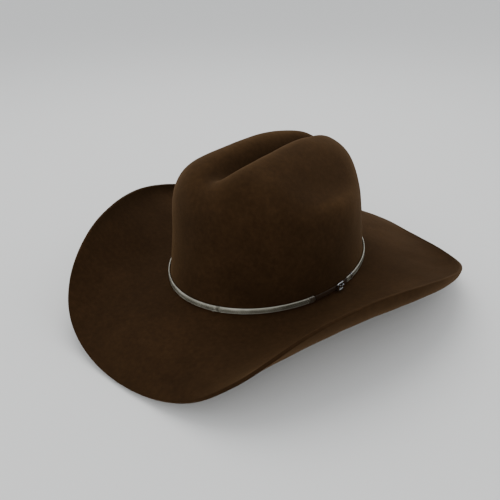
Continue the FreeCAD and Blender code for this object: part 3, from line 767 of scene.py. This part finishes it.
knot = lay_loop("bow_knot_wrap", (2.15 * MM, 1.65 * MM), (1.65 * MM, 1.15 * MM), 3, 4 * MM, 0.5)
knot.data.transform(Matrix.Rotation(math.radians(90), 4, "Y"))
knot.data.transform(Matrix.Rotation(math.radians(90), 4, "X"))
knot.data.transform(crown_place(180, BOW_LEVEL, -BOW_DEPTH))
dress(knot, ribbon, "bow_ribbon", "hat", "bow_knot")

TAB_ANGLE = 150
TAB_LEVEL = 36 * MM
tab = leather_patch("size_tab_card", TAB_ANGLE, TAB_LEVEL, 18 * MM, 14 * MM, 0.3 * MM, 0.5 * MM, 0.02)
card, shader = new_material("tab_card", Roughness=0.75)
shader.inputs["Base Color"].default_value = (0.70, 0.66, 0.56, 1)
dress(tab, card, "tab_card", "hat", "size_tab")


# -------------------------------------------------------------- the hatband
# A narrow plaited strip of grey metallic thread with corded edges lies round the
# foot of the crown. A metal tip closes its front end; a leather billet leads on.

STRIP_GAP = 0.9 * MM
STRIP_HALF = 0.55 * MM
STRIP_LEVEL = 5.3 * MM
STRIP_MIDDLE = STRIP_GAP + STRIP_HALF
STRIP_START = 90.6
STRIP_END = 424.5
STRIP_TALL = 2.3 * MM


def lay_strip(name, start, end, steps, sides, section):
    """A closed section along part of the band, with its ends closed.

    section(share, degrees) gives (off, up) from the strip's middle line.
    """
    def place(u, v):
        step = round(u * steps)
        run = min(max(step - 1, 0), steps - 2) / (steps - 2)
        angle = start + (end - start) * run
        off, up = section(v % 1, angle) if 0 < step < steps else (0, 0)
        at, along, upward, square = wall_frame(angle, STRIP_LEVEL)
        return at + square * (STRIP_MIDDLE + off) + upward * up
    piece = lay_grid(name, steps, sides, place, ((end - start) * 1.65 * MM, 0.012))
    smooth(piece, 60)
    return piece


def plait(angle, up):
    """Relief of the thread work, 0 to 1: herringbone between two twisted edges."""
    run = math.radians(angle) * 95 * MM
    if abs(up) > 1.55 * MM:
        return 0.75 + 0.25 * math.sin(2 * math.pi * (run + abs(up)) / (1.5 * MM))
    return 0.38 + 0.30 * math.sin(2 * math.pi * (run - 1.1 * abs(up)) / (1.9 * MM))


def strip_section(share, angle):
    off, up = rounded(share, 0.40 * MM, STRIP_TALL, 0.45)
    if off > 0:
        off += 0.20 * MM * plait(angle, up)
    return off, up


strip = lay_strip("hatband_plaited_strip", STRIP_START, STRIP_END, 1400, 22, strip_section)
# The plait's relief is stored per point; the colour below paints shade and highlight from it.
relief_shade_mask = strip.data.attributes.new("thread", "FLOAT", "POINT")
for index, vertex in enumerate(strip.data.vertices):
    turn = math.atan2(vertex.co.x / HALF_WIDTH, -vertex.co.y / HALF_LENGTH)
    up = vertex.co.z - BAND_LEVEL - STRIP_LEVEL
    relief_shade_mask.data[index].value = plait(math.degrees(turn % (2 * math.pi)), up)
silver_weave, shader = new_material("silver_weave", Metallic=0.35, Roughness=0.5, Specular_IOR_Level=0.5)
tree = silver_weave.node_tree
relief_shade_fact = add_node(tree, "Attribute", attribute_name="thread")
dust = place_group(silver_weave, mottle, Broad=42, Fine=700, Tooth=2600)
# Relief and random tone set the grey: painted shade darkens the plait's hollows to near black, painted
# highlight makes its raised threads and edges pale.
mixed = add_node(tree, "Math", {0: relief_shade_fact.outputs["Fac"], 1: dust.outputs["Tone"]}, operation="ADD")
shade = add_node(tree, "Math", {0: mixed.outputs[0], 1: 0.5}, operation="MULTIPLY")
greys = ramp(tree, shade.outputs[0], (0.30, (0.020, 0.015, 0.009)), (0.44, (0.105, 0.098, 0.070)),
             (0.58, (0.32, 0.31, 0.245)), (0.70, (0.62, 0.60, 0.52)))
tree.links.new(greys.outputs["Color"], shader.inputs["Base Color"])
dress(strip, silver_weave, "woven_band", "hatband", "hatband_strip")

# A worn place near the front where the strip was spliced: a few turns of thread
# bind it and broken ends stand off it.
SPLICE_ANGLE = 16.2
WRAPS = 5
FRAYED_ENDS = 26
binding = []
for wrap in range(WRAPS):
    angle = SPLICE_ANGLE + wrap * 0.42
    at, along, upward, square = wall_frame(angle, STRIP_LEVEL)
    row = []
    for step in range(13):
        off, up = rounded(step / 12, 0.78 * MM, 2.5 * MM, 0.55)
        row.append(at + square * (STRIP_MIDDLE + off) + upward * up + along * 0.25 * MM * (step / 12))
    binding.append(row)
splice = lay_tube("hatband_splice_thread", binding, 0.17 * MM, 1)
ends = []
for strand in range(FRAYED_ENDS):
    angle = random.uniform(14.5, 21)
    at, along, upward, square = wall_frame(angle, STRIP_LEVEL)
    start = at + square * (STRIP_MIDDLE + 0.5 * MM) + upward * random.uniform(-2.2, 2.0) * MM
    lean = (along * random.uniform(-1, 1) + upward * random.uniform(-0.5, 0.6)
            + square * random.uniform(0.3, 0.9))
    bend = along * random.uniform(-1, 1) + upward * random.uniform(-0.8, 0.4)
    reach = random.uniform(1.0, 2.6) * MM
    ends.append([start + (lean * share + bend * share**2 * 0.6) * reach for share in (0, 0.35, 0.7, 1)])
frayed = lay_tube("hatband_frayed_ends", ends, 0.09 * MM, 1)
for piece, value in ((splice, 0.45), (frayed, 0.85)):
    piece.data.attributes.new("thread", "FLOAT", "POINT").data.foreach_set(
        "value", [value] * len(piece.data.vertices))
dress(splice, silver_weave, "woven_band", "hatband", "hatband_strip")
dress(frayed, silver_weave, "woven_band", "hatband", "hatband_strip")


def billet_section(share, angle):
    off, up = rounded(share, 0.55 * MM, 1.9 * MM, 0.4)
    if off > 0 and 1.2 * MM < abs(up) < 1.5 * MM:
        off -= 0.08 * MM
    return off, up


BILLET_START = 68
BILLET_END = 90.4
billet = lay_strip("hatband_billet_strap", BILLET_START, BILLET_END, 90, 40, billet_section)
dark_leather, shader = new_material("dark_leather", Roughness=0.5, Specular_IOR_Level=0.4)
tree = dark_leather.node_tree
grain = place_group(dark_leather, mottle, Broad=60, Fine=800, Tooth=3000)
deep = ramp(tree, grain.outputs["Tone"], (0.35, (0.019, 0.0095, 0.0042)), (0.65, (0.034, 0.0175, 0.0080)))
tree.links.new(deep.outputs["Color"], shader.inputs["Base Color"])
bump(tree, grain.outputs["Height"], shader, 0.4, 0.08 * MM)
dress(billet, dark_leather, "billet_leather", "hatband", "hatband_billet")


def brushed(name, colour, roughness):
    """Plated metal whose fine wear makes the shine uneven."""
    made, shader = new_material(name, Metallic=1)
    tree = made.node_tree
    wear = place_group(made, mottle, Broad=200, Fine=1100, Tooth=4200)
    tone = ramp(tree, wear.outputs["Tone"], (0.3, tuple(0.72 * part for part in colour)), (0.7, colour))
    tree.links.new(tone.outputs["Color"], shader.inputs["Base Color"])
    spread = add_node(tree, "MapRange", {0: wear.outputs["Height"], 3: roughness - 0.08, 4: roughness + 0.12})
    tree.links.new(spread.outputs[0], shader.inputs["Roughness"])
    bump(tree, wear.outputs["Height"], shader, 0.12, 0.04 * MM)
    return made


pale_metal = brushed("pale_metal", (0.50, 0.48, 0.42), 0.36)
silver = brushed("silver_metal", (0.66, 0.68, 0.70), 0.24)

TIP_SIZE = (5.5 * MM, 5.4 * MM, 1.5 * MM)
TIP_CORNER = 2 * MM
TIP_ANGLE = 66.2
bpy.ops.object.select_all(action="DESELECT")
bpy.ops.mesh.primitive_cube_add(size=1)
tip = bpy.context.object
tip.name = "hatband_tip_cap"
for vertex in tip.data.vertices:
    vertex.co = Vector([part * size for part, size in zip(vertex.co, TIP_SIZE)])
bpy.ops.object.mode_set(mode="EDIT")
bpy.ops.mesh.select_mode(type="EDGE")
bpy.ops.mesh.select_all(action="DESELECT")
shape = bmesh.from_edit_mesh(tip.data)
for edge in shape.edges:
    first, second = (vertex.co for vertex in edge.verts)
    edge.select = first.x > 0 and second.x > 0 and abs(first.y - second.y) < 0.1 * MM
bmesh.update_edit_mesh(tip.data)
bpy.ops.mesh.bevel(offset=TIP_CORNER, segments=8, affect="EDGES")
bpy.ops.object.mode_set(mode="OBJECT")
soften(tip, 0.35 * MM, 3, 50)
smooth(tip, 40)
tip.data.transform(crown_place(TIP_ANGLE, STRIP_LEVEL, STRIP_MIDDLE))
dress(tip, pale_metal, "pale_metal", "hatband", "hatband_tip")


# ------------------------------------------------------- buckle and keeper
# A small cast and plated buckle with a pressed-in pin. Its prong is a bent strip
# that turns on the pin. A loose metal keeper slides on the strip beside it.

BUCKLE_ANGLE = 84
BUCKLE_LEVEL = STRIP_LEVEL + 0.2 * MM
STRIP_OUT = STRIP_GAP + 2 * STRIP_HALF
BUCKLE_METAL = 1.4 * MM
PIN_OFF = STRIP_OUT + 0.5 * MM + BUCKLE_METAL / 2
PIN_BACK = -0.6 * MM
PIN_RADIUS = 0.45 * MM
PIN_LENGTH = 6.4 * MM
FINGER_STEPS = 24
FINGER_LENGTH = 4.4 * MM
KEEPER_ANGLE = 95

buckle = lay_loop("buckle_frame_cast", (4.2 * MM, 3.7 * MM), (2.6 * MM, 2.4 * MM), 6, BUCKLE_METAL, 0.6)
buckle.data.transform(crown_place(BUCKLE_ANGLE, BUCKLE_LEVEL, PIN_OFF))
dress(buckle, silver, "silver_metal", "hatband", "buckle_frame")

pin_place = crown_place(BUCKLE_ANGLE, BUCKLE_LEVEL, PIN_OFF, PIN_BACK)
bpy.ops.object.select_all(action="DESELECT")
bpy.ops.mesh.primitive_cylinder_add(vertices=24, radius=PIN_RADIUS, depth=PIN_LENGTH)
pin = bpy.context.object
pin.name = "buckle_pin_wire"
soften(pin, 0.1 * MM, 2, 50)
smooth(pin, 40)
pin.data.transform(Matrix.Rotation(math.radians(90), 4, "X"))
pin.data.transform(pin_place)
dress(pin, silver, "silver_metal", "hatband", "buckle_pin")

eye = lay_loop("eye", (0.95 * MM, 0.95 * MM), (0.52 * MM, 0.52 * MM), 2, 1.6 * MM, 0.35, 32, 12)
eye.data.transform(Matrix.Rotation(math.radians(90), 4, "X"))


def finger_point(u, v):
    """The finger leaves the eye's top, lies along the buckle and dips at its tip."""
    step = round(u * FINGER_STEPS)
    run = min(max(step - 1, 0), FINGER_STEPS - 2) / (FINGER_STEPS - 2)
    across, up = 0, 0
    if 0 < step < FINGER_STEPS:
        across, up = rounded(v % 1, 0.8 * MM * (1 - 0.35 * run**2), 0.3 * MM, 0.5)
    rise = 1.02 * MM + 0.16 * MM * math.sin(math.pi * run) - 0.10 * MM * run**4
    return Vector((run * FINGER_LENGTH, across, rise + up))


finger = lay_grid("finger", FINGER_STEPS, 12, finger_point)
prong = join("buckle_prong_bent", eye, finger)
smooth(prong, 50)
prong.data.transform(pin_place)
dress(prong, silver, "silver_metal", "prong", "buckle_prong")

keeper = lay_loop("keeper_loop_bent", (2.87 * MM, 1.12 * MM), (2.42 * MM, 0.67 * MM), 8, 3 * MM, 0.4)
keeper.data.transform(Matrix.Rotation(math.radians(90), 4, "Z"))
keeper.data.transform(Matrix.Rotation(math.radians(90), 4, "Y"))
keeper.data.transform(crown_place(KEEPER_ANGLE, STRIP_LEVEL, STRIP_MIDDLE))
dress(keeper, silver, "silver_metal", "keeper", "keeper_loop")


# ------------------------------------------------------- floor, light, camera
# A plain pale floor under broad soft light from above.

bpy.ops.object.select_all(action="DESELECT")
bpy.ops.mesh.primitive_plane_add(size=30, location=(0, 0, -0.2 * MM))
floor = bpy.context.object
floor.name = "studio_floor"
pale, shader = new_material("studio_pale", Roughness=0.85)
shader.inputs["Base Color"].default_value = (0.82, 0.82, 0.80, 1)
floor.data.materials.append(pale)

world = bpy.data.worlds.new("studio")
world.use_nodes = True
world.node_tree.nodes["Background"].inputs["Color"].default_value = (0.95, 0.97, 1, 1)
world.node_tree.nodes["Background"].inputs["Strength"].default_value = 0.92
bpy.context.scene.world = world


def softbox(name, place, target, size, watts):
    lamp = bpy.data.lights.new(name, "AREA")
    lamp.shape = "DISK"
    lamp.size = size
    lamp.energy = watts
    made = bpy.data.objects.new(name, lamp)
    bpy.context.collection.objects.link(made)
    made.location = place
    made.rotation_euler = (Vector(target) - Vector(place)).to_track_quat("-Z", "Y").to_euler()


softbox("overhead", (-0.35, 0.30, 1.25), (0, 0, 0), 1.1, 7)
softbox("front_fill", (0.9, -1.3, 0.8), (0, 0, 0.05), 1.2, 6)

AZIMUTH = math.radians(38.7)
ELEVATION = math.radians(26.5)
DISTANCE = 0.505
AIM = Vector((0, 0, 0.060))
back = Vector((math.sin(AZIMUTH) * math.cos(ELEVATION), -math.cos(AZIMUTH) * math.cos(ELEVATION),
               math.sin(ELEVATION)))
lens = bpy.data.cameras.new("camera")
lens.sensor_width = 36
lens.lens = 38.4
lens.shift_x = -0.038
lens.shift_y = -0.053
camera = bpy.data.objects.new("camera", lens)
bpy.context.collection.objects.link(camera)
camera.location = AIM + back * DISTANCE
turned = (-back).to_track_quat("-Z", "Y").to_matrix().to_4x4() @ Matrix.Rotation(math.radians(-1), 4, "Z")
camera.rotation_euler = turned.to_euler()
bpy.context.scene.camera = camera
